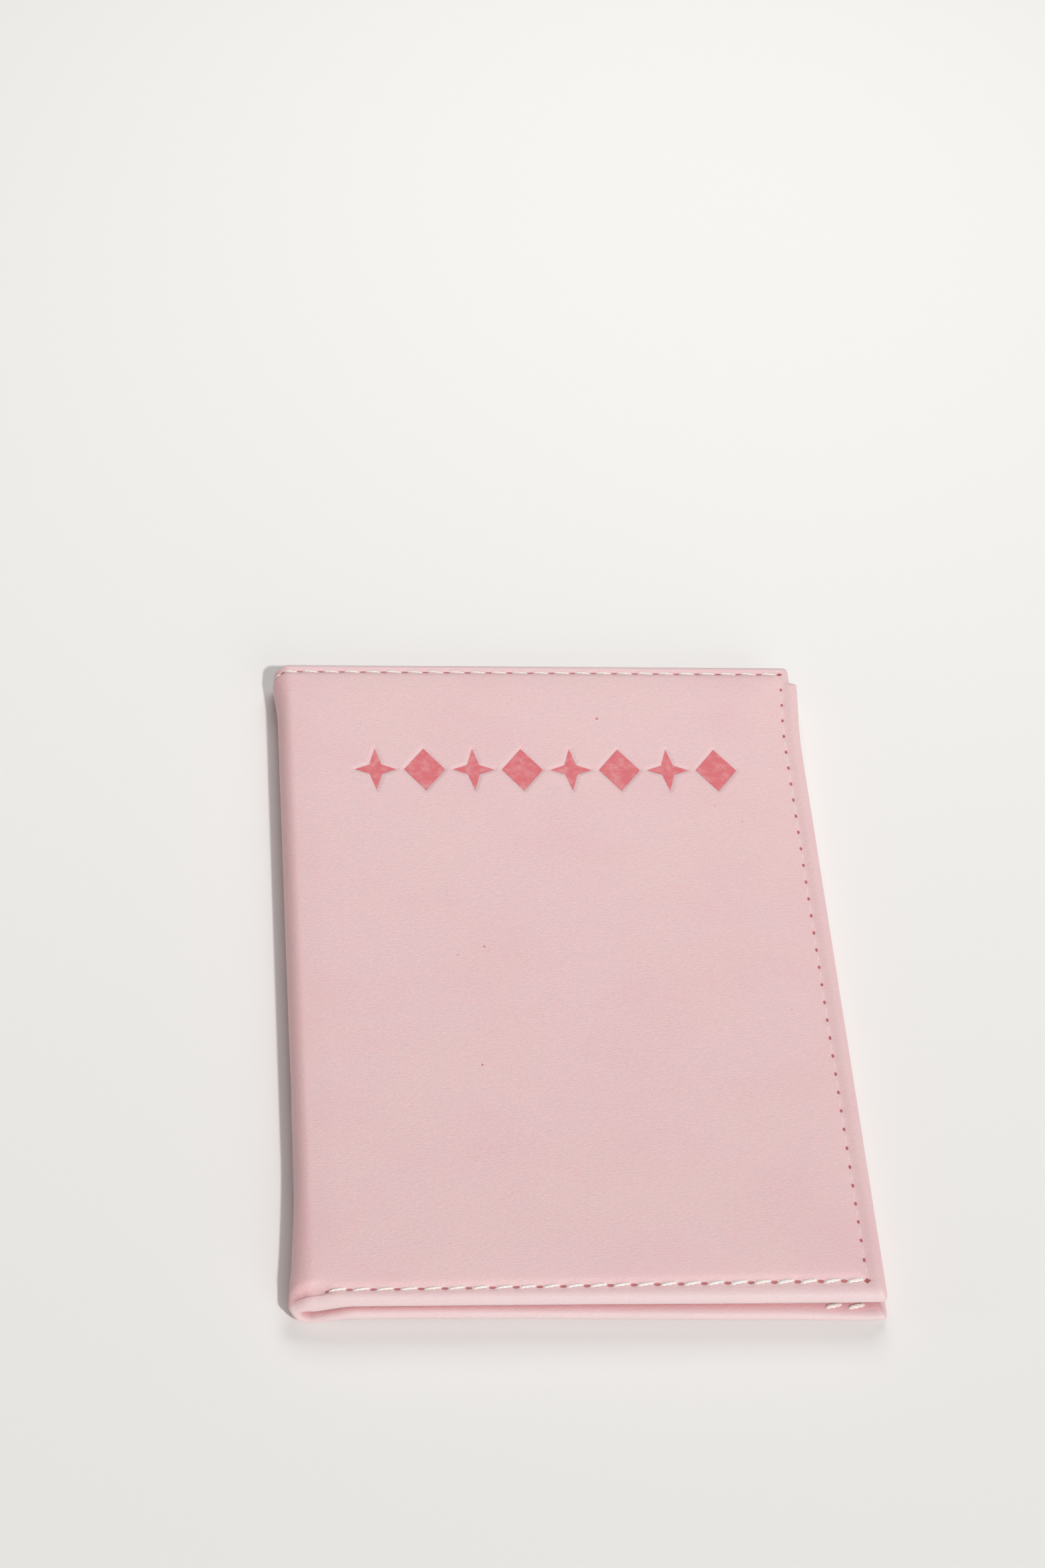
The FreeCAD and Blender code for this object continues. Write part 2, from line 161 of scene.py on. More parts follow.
class HolderColours(bpy.types.PropertyGroup):
    """Colours of the materials."""
    leather: colour("Leather", "Main colour of the leatherette", 0.785, 0.545, 0.553)
    rose: colour("Rose", "Pinker patches of the leatherette", 0.770, 0.500, 0.522)
    peach: colour("Peach", "Warmer patches of the leatherette", 0.790, 0.553, 0.533)
    # Painted shade: the deeper rose of the turned-in hem stands in for the shade in the gap between the
    # covers.
    hem: colour("Hem", "Leatherette that is turned in and hidden", 0.760, 0.425, 0.440)
    # Painted shade: the redder, darker tone stands in for the shaded side of the spine's roll.
    shaded: colour("Spine", "Leather stretched round the spine", 0.820, 0.450, 0.460)
    # Painted highlight: the pale tone on the rolled ends stands in for the sheen of the front light.
    painted_sheen: colour("Rubbed edge", "Rolled edge of a cover, rubbed pale", 0.730, 0.640, 0.640)
    # Painted shade: the dark red-brown stands in for the shade deep in each needle hole; the same colour
    # also marks the leather's random specks.
    hole: colour("Hole", "Inside of a needle hole", 0.500, 0.085, 0.095)
    thread: colour("Thread", "Sewing thread", 0.930, 0.860, 0.810)
    foil: colour("Foil", "Ink of the stamped ornament", 0.640, 0.115, 0.135)
    foil_worn: colour("Worn foil", "Ink where it is thin", 0.680, 0.230, 0.240)
    lining: colour("Lining", "Lining cloth", 0.610, 0.330, 0.350)
    board: colour("Board", "Stiffener board", 0.400, 0.360, 0.310)
    table: colour("Table", "Table top", 0.850, 0.836, 0.817)


def shape():
    """The holder's sizes."""
    return bpy.context.scene.holder_shape


def tints():
    """The holder's colours."""
    return bpy.context.scene.holder_colours


# ---------------------------------------------------------------- curves and numbers

def smooth(low, high, at):
    """0 before low, 1 after high, and a smooth rise between."""
    share = min(1, max(0, (at - low) / (high - low)))
    return share * share * (3 - 2 * share)


def bump(distance, width):
    """Bell of height 1 at distance 0."""
    return math.exp(-(distance / width) ** 2)


def stations(start, end, spacing):
    """Places from start to end, as far apart as spacing(place) says."""
    places = [start]
    while places[-1] < end:
        places.append(places[-1] + spacing(places[-1]))
    scale = (end - start) / (places[-1] - start)
    return [start + (place - start) * scale for place in places]


def row_of(first, run, pitch):
    """(first hole, pitch) of a row whose pitch is fitted to the run."""
    return first, run / max(1, round(run / pitch))


def hole_distance(at, first, pitch):
    """Distance along a row to its nearest needle hole."""
    return abs((at - first + pitch / 2) % pitch - pitch / 2)


# ---------------------------------------------------------------- ornament

def motif_outline(index):
    """Corners of one stamped motif on the cut, anticlockwise: stars and lozenges in turn."""
    pitch = (FOIL_HIGH.x - FOIL_LOW.x + shape().motif_gap) / MOTIFS
    half = (pitch - shape().motif_gap) / 2
    tall = (FOIL_HIGH.y - FOIL_LOW.y) / 2
    waist = shape().star_waist
    centre = Vector((FOIL_LOW.x - ROLL_X + half + index * pitch, (FOIL_LOW.y + FOIL_HIGH.y) / 2))
    tips = [Vector((half, 0)), Vector((0, tall)), Vector((-half, 0)), Vector((0, -tall))]
    if index % 2:
        return [centre + tip for tip in tips]
    waists = [Vector((waist * x, waist * y)) for x, y in ((1, 1), (-1, 1), (-1, -1), (1, -1))]
    return [centre + point for pair in zip(tips, waists) for point in pair]


def outline_distance(outline, place):
    """Distance of a place from an outline, negative inside."""
    inside = False
    nearest = math.inf
    for index, start in enumerate(outline):
        end = outline[(index + 1) % len(outline)]
        edge = end - start
        share = min(1, max(0, (place - start).dot(edge) / edge.length_squared))
        nearest = min(nearest, (place - start - edge * share).length)
        if (start.y > place.y) != (end.y > place.y):
            crossing = start.x + (place.y - start.y) / edge.y * edge.x
            inside ^= place.x < crossing
    return -nearest if inside else nearest


# ---------------------------------------------------------------- folded surface

class Surface:
    """Outer face of one cover with its half of the spine: from the flat cut to the holder."""

    def __init__(self, side):
        self.side = side
        self.size = shape()
        self.motifs = [motif_outline(index) for index in range(MOTIFS)] if side == FRONT else []
        self.high = EDGE_ALONG - self.size.edge_bulge
        self.wide = EDGE_ACROSS - self.size.edge_bulge
        self.ends = row_of(SEAM_ACROSS, SEAM_ACROSS - MID_SPINE, self.size.stitch_pitch)
        self.opening = row_of(SEAM_ALONG, 2 * SEAM_ALONG, self.size.stitch_pitch)

    def step(self, along):
        """How far the opening edge stands back at the top corner."""
        if self.side == BACK:
            return 0
        drop = EDGE_ALONG - self.size.step_drop
        return self.size.step_width * smooth(drop - 0.14 * MM, drop + 0.14 * MM, along)

    def drawn(self, along):
        """How far the spine's leather is drawn in: less at its top, flared at its foot."""
        foot = smooth(-72 * MM, -42 * MM, along)
        flare = 0.8 * MM * smooth(58 * MM, 69 * MM, along) + 0.4 * MM * smooth(-60 * MM, -70 * MM, along)
        return self.size.spine_draw * foot - flare

    def pull(self, across, along):
        """How far a cover's corner is pulled past its straight edge."""
        reach = smooth(8 * MM, EDGE_ACROSS, across)
        if self.side == FRONT:
            return self.size.corner_flare * reach * smooth(50 * MM, 68 * MM, along)
        return 0.6 * MM * reach * smooth(-52 * MM, -69 * MM, along)

    def drift(self, across, along):
        """How far the lower end of a cover wanders towards the opening corner."""
        far = smooth(8 * MM, SEAM_ACROSS, across)
        low = smooth(-45 * MM, -62 * MM, along)
        if self.side == BACK:
            return -RIM_DRIFT_BACK * far * smooth(-68 * MM, -69.8 * MM, along)
        seam = self.size.seam_drift * smooth(-69.6 * MM, -67.6 * MM, along)
        return (seam - RIM_DRIFT_FRONT * smooth(-67 * MM, -69 * MM, along)) * far * low

    def place(self, across, along, depth=0.0):
        """Point of the holder under a place on the cut, depth below the outer face."""
        low_end = smooth(-61 * MM, -69 * MM, along) * smooth(7 * MM, -1 * MM, across)
        sag = self.size.fold_sag * low_end * min(1, max(0, depth) / COVER_THICK)
        if across >= 0:
            drift = self.drift(across, along)
            return Vector((ROLL_X + across + self.pull(across, along), along + drift,
                           SPINE_RADIUS + self.side * (SPINE_RADIUS - depth) - sag))
        angle = -across / SPINE_RADIUS
        radius = SPINE_RADIUS - depth
        return Vector((ROLL_X - radius * math.sin(angle) + self.drawn(along) * math.sin(angle), along,
                       SPINE_RADIUS + self.side * radius * math.cos(angle) - sag))

    def thick(self, across, along):
        """Thickness of the padded edge: less round the spine and at the back's lower corner."""
        thick = COVER_THICK + (SPINE_HEM - COVER_THICK) * smooth(0.5 * MM, MID_SPINE * 0.8, across)
        if self.side == BACK:
            thick -= 0.7 * MM * smooth(76 * MM, 92 * MM, across) * smooth(-60 * MM, -68 * MM, along)
        return thick

    def mitre(self, across, along):
        """Ridge where the hem is folded over itself at a corner."""
        if across < self.wide - 6 * MM:
            return 0
        return bump((self.wide - across) - (self.high - abs(along)), 0.5 * MM)

    def floor(self, across):
        """Depth of the lining's bed: deep on the cover, shallow round the spine."""
        return LINING_DEPTH + (SPINE_FLOOR - LINING_DEPTH) * smooth(4 * MM, -0.5 * MM, across)

    def seam(self, across, along):
        """Valley along the seam, deeper at each needle hole."""
        size = self.size
        end = abs(along) - SEAM_ALONG
        side = across - SEAM_ACROSS
        if end > 0 and side > 0:
            return size.seam_dip * bump(math.hypot(end, side), 1.2 * MM)
        dip = 0
        if side <= 0 and abs(end) < 3.5 * MM:
            hole = hole_distance(across, *self.ends)
            width = 1.2 * MM if end > 0 else 0.7 * MM
            dip = size.seam_dip * bump(end, width)
            dip += size.hole_dip * bump(end, 0.34 * MM) * bump(hole, 0.55 * MM)
        if end <= 0 and abs(side) < 3.5 * MM:
            hole = hole_distance(along, *self.opening)
            valley = size.seam_dip * bump(side, 1.2 * MM if side > 0 else 0.75 * MM)
            dip = max(dip, valley + size.hole_dip * bump(side, 0.34 * MM) * bump(hole, 0.45 * MM))
        if along < 0 and self.side == FRONT:
            dip *= smooth(-5.4 * MM, -2.4 * MM, across)
        return dip + self.crease(across, along)

    def crease(self, across, along):
        """Deep crease that swallows the seam where the roll ends at its foot."""
        if along > -60 * MM or self.side == BACK:
            return 0
        off = along + SEAM_ALONG + 0.45 * MM * smooth(3 * MM, -3 * MM, across)
        width = 1.25 * MM if off > 0 else 0.95 * MM
        fade = smooth(3.6 * MM, 0.5 * MM, across) * smooth(-5.8 * MM, -3.9 * MM, across)
        return CREASE_DEPTH * bump(off, width) * fade

    def padding(self, across, along):
        """Height of the crowned padding, which the seam holds down."""
        inside = min(SEAM_ACROSS - across, SEAM_ALONG - abs(along))
        if inside <= 0:
            return 0
        swell = 0.06 * MM * noise.noise(Vector((across, along, 0.4 + self.side)) / (22 * MM))
        lift = 1 - math.exp(-inside / self.size.crown_reach)
        return (self.size.crown + swell) * lift * smooth(MID_SPINE, 5 * MM, across)

    def flattened(self, across):
        """Crown that the weight of the holder presses out of the back cover."""
        return self.size.crown * smooth(MID_SPINE, 5 * MM, across)

    def stamp(self, across, along):
        """Depth of the stamped ornament."""
        soft = self.size.shoulder
        deepest = 0
        for outline in self.motifs:
            low = Vector((min(point.x for point in outline), min(point.y for point in outline)))
            high = Vector((max(point.x for point in outline), max(point.y for point in outline)))
            if low.x - soft < across < high.x + soft and low.y - soft < along < high.y + soft:
                away = outline_distance(outline, Vector((across, along)))
                deepest = max(deepest, self.size.deboss * smooth(soft, 0.12 * MM, away))
        return deepest

    def height(self, across, along):
        """Height of the outer face over its nominal place."""
        rise = self.padding(across, along) - self.seam(across, along) - self.stamp(across, along)
        if self.side == FRONT:
            return rise
        return min(0, rise - self.flattened(across))

    def skin(self, across, along, above=0.0):
        """Point on the outer face, or above it."""
        return self.place(across, along, -self.height(across, along) - above)

    def ring(self, across, along, inset):
        """Place on the cut after the outline moves in by inset, with its corners rounded."""
        side_edge = self.wide - self.step(along)
        wide = side_edge - inset
        high = self.high - inset
        across = MID_SPINE + (across - MID_SPINE) * (wide - MID_SPINE) / (self.wide - MID_SPINE)
        along = along * high / self.high
        round_off = max(0, self.size.corner - (inset if inset > 0 else 0.35 * inset))
        over_x = across - (wide - round_off)
        over_y = abs(along) - (high - round_off)
        if over_x > 0 and over_y > 0:
            shrink = max(over_x, over_y) / math.hypot(over_x, over_y)
            across = wide - round_off + over_x * shrink
            along = math.copysign(high - round_off + over_y * shrink, along)
        return across, along


# ---------------------------------------------------------------- finished pieces

def finish_piece(mesh, name, material, smooth_angle=40):
    """Object from a bmesh, with its finish."""
    data = bpy.data.meshes.new(name)
    mesh.to_mesh(data)
    mesh.free()
    data.shade_smooth()
    data.set_sharp_from_angle(angle=math.radians(smooth_angle))
    data.materials.append(material)
    piece = bpy.data.objects.new(name, data)
    bpy.context.scene.collection.objects.link(piece)
    return piece


def bend_at_fold(piece, side):
    """Bake a piece's transform into its mesh, alike for either side."""
    if side == FRONT:
        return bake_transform(piece)
    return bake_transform(piece)


def flat_cut(mesh, across_places, along_places):
    """Grid of the flat cut, with a line at each of the given places."""
    columns = len(across_places) - 1
    rows = len(along_places) - 1
    bmesh.ops.create_grid(mesh, x_segments=columns, y_segments=rows, size=1)
    for vert in mesh.verts:
        column = round((vert.co.x + 1) / 2 * columns)
        row = round((vert.co.y + 1) / 2 * rows)
        vert.co = Vector((across_places[column], along_places[row], 0))


def lay_out(mesh, places):
    """Store each vertex's place on the cut as the piece's UV map, in metres."""
    layer = mesh.loops.layers.uv.new("Cut")
    for face in mesh.faces:
        for loop in face.loops:
            loop[layer].uv = places[loop.vert]


# ---------------------------------------------------------------- leather

def edge_rings(size):
    """(inset, share of the thickness, run along the skin) of each ring round a turned edge."""
    rings = []
    turns = 9
    for step in range(1, turns + 1):
        angle = math.pi * step / turns
        run = COVER_THICK / 2 * angle
        rings.append((-size.edge_bulge * math.sin(angle), (1 - math.cos(angle)) / 2, run))
    reach = HEM_WIDTH - size.edge_bulge
    for inset in [value * MM for value in HEM_RINGS] + [reach - HEM_EDGE, reach]:
        rings.append((inset, 1.0, math.pi * COVER_THICK / 2 + inset))
    return rings


def leather_stations(side):
    """Places of the cut's grid lines: close at the seam, the roll and the ornament."""
    fine = 0.32 * MM
    wide = EDGE_ACROSS - shape().edge_bulge
    high = EDGE_ALONG - shape().edge_bulge
    stamped = (FOIL_LOW.x - ROLL_X - 1 * MM, FOIL_HIGH.x - ROLL_X + 1 * MM)
    inner = 0.8 * MM

    def across_spacing(at):
        if side == FRONT and stamped[0] < at < stamped[1]:
            return fine
        return fine * 1.2 if at < 0.5 * MM or at > wide - 4.2 * MM else inner

    def along_spacing(at):
        if side == FRONT and FOIL_LOW.y - 1 * MM < at < FOIL_HIGH.y + 1 * MM:
            return fine
        return fine if abs(at) > high - 4.6 * MM else inner

    return stations(MID_SPINE, wide, across_spacing), stations(-high, high, along_spacing)


def inner_seam(surface, across, along):
    """Groove that the bobbin thread pulls into the hem."""
    end = abs(abs(along) - SEAM_ALONG)
    side = abs(across - SEAM_ACROSS)
    dip = 0
    if across < SEAM_ACROSS + 0.3 * MM:
        dip = bump(end, 0.45 * MM) * (0.6 + 0.4 * bump(hole_distance(across, *surface.ends), 0.6 * MM))
    if abs(along) < SEAM_ALONG + 0.3 * MM:
        hole = hole_distance(along, *surface.opening)
        dip = max(dip, bump(side, 0.45 * MM) * (0.6 + 0.4 * bump(hole, 0.6 * MM)))
    return 0.28 * MM * dip


def cover_skin(side):
    """Closed mesh of one cover's leather and padding: face, turned edges, hems and bed."""
    surface = Surface(side)
    mesh = bmesh.new()
    flat_cut(mesh, *leather_stations(side))
    rings = edge_rings(shape())
    level = {vert: 0 for vert in mesh.verts}
    front_line = [edge for edge in mesh.edges if edge.is_boundary
                  and max(vert.co.x for vert in edge.verts) > MID_SPINE + 0.01 * MM]
    for number in range(1, len(rings) + 2):
        grown = bmesh.ops.extrude_edge_only(mesh, edges=front_line)["geom"]
        front_line = [item for item in grown if isinstance(item, bmesh.types.BMEdge)]
        for vert in [item for item in grown if isinstance(item, bmesh.types.BMVert)]:
            level[vert] = number
    top = [edge for edge in front_line if min(vert.co.y for vert in edge.verts) > surface.high - 1e-7]
    foot = [edge for edge in front_line if max(vert.co.y for vert in edge.verts) < 1e-7 - surface.high]
    bmesh.ops.bridge_loops(mesh, edges=top + foot)
    bmesh.ops.holes_fill(mesh, edges=[edge for edge in mesh.edges if edge.is_boundary], sides=0)
    places = {}
    for vert in mesh.verts:
        places[vert], vert.co = skin_point(surface, rings, vert.co.copy(), level[vert])
    lay_out(mesh, places)
    bmesh.ops.recalc_face_normals(mesh, faces=mesh.faces)
    return mesh


def skin_point(surface, rings, cut, number):
    """(place for the pattern, point of the holder) of one vertex of a cover's skin."""
    if number == 0:
        across, along = surface.ring(cut.x, cut.y, 0)
        return (across, along), surface.skin(across, along)
    inset, share, run = rings[min(number, len(rings)) - 1]
    across, along = surface.ring(cut.x, cut.y, inset)
    outward = Vector((1 if cut.x > surface.wide - 1e-7 else 0,
                      math.copysign(1, cut.y) if abs(cut.y) > surface.high - 1e-7 else 0))
    pattern = (cut.x + outward.x * run, cut.y + outward.y * run)
    if number > len(rings):
        return pattern, surface.place(across, along, surface.floor(across))
    thick = surface.thick(across, along)
    wave = 0.10 * MM * noise.noise(Vector((across, along, 3.0 * surface.side)) / (9 * MM))
    edge_height = surface.height(*surface.ring(cut.x, cut.y, 0))
    depth = share * thick - (1 - share) * edge_height
    if share > 0.5:
        depth += 0.22 * MM * (2 * share - 1) * surface.mitre(across, along)
    if inset > 0:
        depth -= inner_seam(surface, across, along)
        if number == len(rings):
            depth -= HEM_EDGE
    else:
        depth += wave * math.sin(math.pi * share)
    return pattern, surface.place(across, along, depth)


# ---------------------------------------------------------------- thread

def twisted_stitch():
    """One stitch along X: two plies twisted together, tapering into the needle holes."""
    size = shape()
    mesh = bmesh.new()
    radius = size.thread_radius
    bmesh.ops.create_cone(mesh, cap_ends=True, segments=8, radius1=radius, radius2=radius,
                          depth=size.stitch_length)
    walls = [edge for edge in mesh.edges if abs(edge.verts[0].co.z - edge.verts[1].co.z) > radius]
    bmesh.ops.subdivide_edges(mesh, edges=walls, cuts=8, use_grid_fill=False)
    for vert in mesh.verts:
        run = vert.co.z / size.stitch_length
        angle = math.atan2(vert.co.y, vert.co.x)
        plies = 1 + 0.26 * math.cos(2 * (angle - 2 * math.pi * run * 1.6))
        taper = 1 - 0.55 * (2 * abs(run)) ** 4
        arch = -1.1 * radius * (2 * abs(run)) ** 5
        reach = math.hypot(vert.co.x, vert.co.y) * plies * taper
        vert.co = Vector((vert.co.z, reach * math.cos(angle), reach * math.sin(angle) * 0.8 + arch))
    return mesh


def stitch_template():
    """Mesh data of one stitch, to be copied along a seam."""
    stitch = twisted_stitch()
    template = bpy.data.meshes.new("stitch")
    stitch.to_mesh(template)
    stitch.free()
    return template


def add_stitch(mesh, template, places, to_cut, to_holder):
    """Copy the stitch into a mesh, note its place on the cut and fold it onto the holder."""
    before = len(mesh.verts)
    mesh.from_mesh(template)
    mesh.verts.ensure_lookup_table()
    for vert in mesh.verts[before:]:
        at = to_cut(vert.co)
        places[vert] = (at.x, at.y)
        vert.co = to_holder(at, vert.co.z)


def end_seam(mesh, template, places):
    """Drop the template, store the stitches' places and turn their faces outwards."""
    bpy.data.meshes.remove(template)
    lay_out(mesh, places)
    bmesh.ops.recalc_face_normals(mesh, faces=mesh.faces)
    return mesh


def rows_of_cover(surface, inner):
    """(hole, direction of the row, slant, sink) of every stitch along a cover's seam."""
    hole, pitch = surface.ends
    sink = 0.02 * MM
    slant = -STITCH_SLANT
    count = round((SEAM_ACROSS - MID_SPINE) / pitch)
    for end in (1, -1):
        for index in range(count):
            middle = Vector((hole - (index + 0.5) * pitch, end * SEAM_ALONG))
            lost = 0.8 * MM if end < 0 and middle.x < 3 * MM and surface.side == FRONT and not inner else 0
            if inner and surface.side == BACK and end < 0 and index < 2:
                middle.y -= 0.95 * MM
                lost = -0.12 * MM
            yield middle, Vector((1, 0)), slant * end, sink + lost
    hole, pitch = surface.opening
    count = round(2 * SEAM_ALONG / pitch)
    for index in range(count):
        middle = Vector((SEAM_ACROSS, hole - (index + 0.5) * pitch))
        yield middle, Vector((0, 1)), slant, sink + (0 if inner else 0.19 * MM)


def cover_stitches(side, inner):
    """Mesh of one face's stitches on a cover and its half of the spine."""
    surface = Surface(side)
    lift = 0.55 * shape().thread_radius
    template = stitch_template()
    mesh = bmesh.new()
    places = {}
    for number, (middle, along_row, slant, sink) in enumerate(rows_of_cover(surface, inner)):
        turn = slant + math.radians(3) * noise.noise(Vector((number * 0.7, side, 5.1)))
        forward = Vector((along_row.x * math.cos(turn) - along_row.y * math.sin(turn),
                          along_row.x * math.sin(turn) + along_row.y * math.cos(turn)))
        sideways = Vector((-forward.y, forward.x))
        groove = surface.seam(middle.x, middle.y) if not inner else inner_seam(surface, middle.x, middle.y)

        def to_cut(point):
            return middle + forward * point.x + sideways * point.y

        def to_holder(at, rise):
            above = rise + lift - sink
            if inner:
                return surface.place(at.x, at.y, surface.thick(at.x, at.y) - groove + above)
            base = surface.padding(at.x, at.y) - groove
            if side == BACK:
                base = min(0, base - surface.flattened(at.x))
                above = min(above, 0.02 * MM - base)
            return surface.place(at.x, at.y, -base - above)

        add_stitch(mesh, template, places, to_cut, to_holder)
    return end_seam(mesh, template, places)


# ---------------------------------------------------------------- lining, sleeves and pockets

def sheet_on_cover(side, across_places, along_places, depth_at, left_edge=None):
    """Single sheet on the inner side of a cover; left_edge(along) may shape its mouth."""
    surface = Surface(side)
    mesh = bmesh.new()
    flat_cut(mesh, across_places, along_places)
    places = {}
    right = across_places[-1]
    for vert in mesh.verts:
        across, along = vert.co.x, vert.co.y
        if left_edge:
            shift = left_edge(along) - across_places[0]
            across += shift * (right - across) / (right - across_places[0])
        places[vert] = (across, along)
        vert.co = surface.place(across, along, depth_at(surface, across, along))
    lay_out(mesh, places)
    if side == FRONT:
        bmesh.ops.reverse_faces(mesh, faces=mesh.faces)
    return mesh


def give_thickness(piece, thick):
    """Wall of a sheet, growing into the cover from its visible face, with soft edges."""
    wall = piece.modifiers.new("Wall", "SOLIDIFY")
    wall.thickness = thick
    wall.offset = -1
    wall.use_even_offset = False
    edge = piece.modifiers.new("Soft edge", "BEVEL")
    edge.width = thick * 0.3
    edge.segments = 2
    edge.limit_method = "ANGLE"
    edge.angle_limit = math.radians(50)


# ---------------------------------------------------------------- materials

class Value:
    """A number or colour that varies over a surface, with arithmetic on numbers."""

    def __init__(self, finish, socket):
        self.finish = finish
        self.socket = socket

    def _math(self, operation, first, second):
        return self.finish.node("ShaderNodeMath", {"operation": operation}, {0: first, 1: second})

    def __add__(self, other):
        return self._math("ADD", self, other)

    def __radd__(self, other):
        return self._math("ADD", other, self)

    def __sub__(self, other):
        return self._math("SUBTRACT", self, other)

    def __rsub__(self, other):
        return self._math("SUBTRACT", other, self)

    def __mul__(self, other):
        return self._math("MULTIPLY", self, other)

    def __rmul__(self, other):
        return self._math("MULTIPLY", other, self)

    def __truediv__(self, other):
        return self._math("DIVIDE", self, other)

    def __mod__(self, other):
        return self._math("FLOORED_MODULO", self, other)

    def __abs__(self):
        return self._math("ABSOLUTE", self, 0.0)

    def most(self, other):
        """The larger of two values."""
        return self._math("MAXIMUM", self, other)

    def rise(self, low, high):
        """Smooth step from 0 at low to 1 at high."""
        return self.finish.node(
            "ShaderNodeMapRange", {"interpolation_type": "SMOOTHSTEP"},
            {"Value": self, "From Min": low, "From Max": high})


class Finish:
    """A material under construction round its Principled shader."""

    def __init__(self, name, roughness, specular=0.4, sheen=0.0):
        self.material = bpy.data.materials.new(name)
        self.material.use_nodes = True
        self.nodes = self.material.node_tree.nodes
        self.links = self.material.node_tree.links
        self.shader = next(node for node in self.nodes if node.type == "BSDF_PRINCIPLED")
        self.out("Roughness", roughness)
        self.out("Specular IOR Level", specular)
        self.out("Sheen Weight", sheen)
        self.out("Sheen Roughness", 0.5)

    def feed(self, socket, source):
        """Link a varying value, or set a plain one."""
        if isinstance(source, Value):
            self.links.new(source.socket, socket)
        elif socket.type == "RGBA" and len(source) == 3:
            socket.default_value = (*source, 1)
        else:
            socket.default_value = source

    def node(self, kind, settings=None, inputs=None, output=0):
        """Add a node: its settings first, then the values or links of its sockets."""
        made = self.nodes.new(kind)
        for key, setting in (settings or {}).items():
            setattr(made, key, setting)
        for key, source in (inputs or {}).items():
            self.feed(made.inputs[key], source)
        return Value(self, made.outputs[output])

    def out(self, name, source):
        """Feed one of the shader's own sockets."""
        self.feed(self.shader.inputs[name], source)

    def mix(self, share, first, second):
        """Colour between two colours."""
        return self.node("ShaderNodeMix", {"data_type": "RGBA"}, {0: share, 6: first, 7: second}, 2)

    def cut_place(self, scale=(1, 1, 1), turn=0.0):
        """Place on the flat cut, in millimetres times scale."""
        return self.node(
            "ShaderNodeMapping", {}, {
                "Vector": self.node("ShaderNodeUVMap", {"uv_map": "Cut"}),
                "Rotation": (0, 0, turn),
                "Scale": tuple(part / MM for part in scale)})

    def cut_parts(self):
        """Place on the flat cut as two values, across and along, in millimetres."""
        place = {"Vector": self.cut_place()}
        return [self.node("ShaderNodeSeparateXYZ", {}, place, output) for output in ("X", "Y")]

    def solid_place(self, scale=(1, 1, 1)):
        """Place in the object, in millimetres times scale."""
        return self.node(
            "ShaderNodeMapping", {}, {
                "Vector": self.node("ShaderNodeTexCoord", {}, {}, "Object"),
                "Scale": tuple(part / MM for part in scale)})

    def cloud(self, place, scale, detail=2.0, roughness=0.5, distortion=0.0):
        """Noise between 0 and 1."""
        return self.node(
            "ShaderNodeTexNoise", {"noise_dimensions": "3D"},
            {"Vector": place, "Scale": scale, "Detail": detail, "Roughness": roughness,
             "Distortion": distortion})

    def relief(self, height, depth, strength=1.0):
        """Raise the surface by height times depth, in metres."""
        self.out("Normal", self.node(
            "ShaderNodeBump", {}, {"Height": height, "Distance": depth, "Strength": strength}))


def hole_mask(finish):
    """1 in the needle holes along the seam, read on the flat cut in millimetres."""
    across, along = finish.cut_parts()
    seam_across, seam_along = SEAM_ACROSS / MM, SEAM_ALONG / MM
    surface = Surface(BACK)
    end_pitch, side_pitch = surface.ends[1] / MM, surface.opening[1] / MM

    def nearest_hole(at, first, pitch):
        return abs((at - (first - pitch / 2)) % pitch - pitch / 2)

    def slot(off_row, along_row, half_width, half_length):
        far = (off_row / half_width) * (off_row / half_width)
        far = far + (along_row / half_length) * (along_row / half_length)
        return 1 - far.rise(0.45, 1.15)

    end = abs(abs(along) - seam_along)
    side = abs(across - seam_across)
    ends = slot(end, nearest_hole(across, seam_across, end_pitch), 0.21, 0.60)
    ends = ends * (1 - across.rise(seam_across + 0.6, seam_across + 0.9))
    ends = ends * across.rise(1.6, 2.0).most(along.rise(0, 1))
    sides = slot(side, nearest_hole(along, seam_along, side_pitch), 0.28, 0.46)
    sides = sides * (1 - abs(along).rise(seam_along + 0.2, seam_along + 0.5))
    return ends, sides


def edge_masks(finish):
    """1 on the rolled ends and beyond, where a pale highlight is painted, and 1 on the turned-in hem,
    where shade is painted.
    """
    across, along = finish.cut_parts()
    edge = Surface(BACK)
    past_end = abs(along) - edge.high / MM
    past = (across - edge.wide / MM).most(past_end)
    return past_end.rise(-0.6, 1.2), past.rise(3.3, 5.0)


